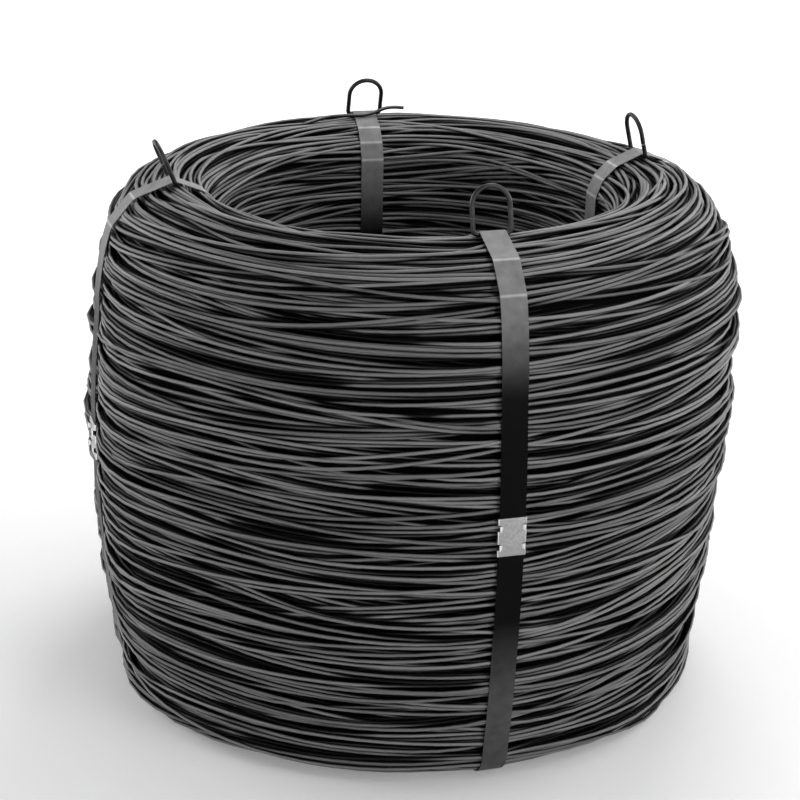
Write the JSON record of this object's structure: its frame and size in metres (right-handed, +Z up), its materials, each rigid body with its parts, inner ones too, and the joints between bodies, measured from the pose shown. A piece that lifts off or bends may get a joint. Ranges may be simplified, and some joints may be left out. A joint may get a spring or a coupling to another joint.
{
  "type": "coil of annealed wire",
  "caption": "Barrel-shaped coil of black annealed steel wire with an open bore, bound by flat steel straps with crimped seals, with wire links held upright on its crest.",
  "frame": {"origin": "on the coil's axis at floor level, in the plane of the straps' undersides", "axes": "+Z up along the bore; -Y towards the front strap, with the right strap near +X"},
  "size_m": [0.5148, 0.5145, 0.4375],
  "materials": {
    "wire": "black annealed, satin oxide skin",
    "strap": "black, semi-gloss",
    "seal": "zinc-grey, satin",
    "link": "black annealed, satin"
  },
  "bodies": {
    "root": {"wire_coil": "wire", "strap_front": "strap", "strap_right": "strap", "strap_back": "strap", "strap_left": "strap", "seal_front": "seal", "seal_right": "seal", "seal_back": "seal", "seal_left": "seal", "link_front": "link", "link_right": "link", "link_back": "link", "link_left": "link"}
  },
  "joints": []
}
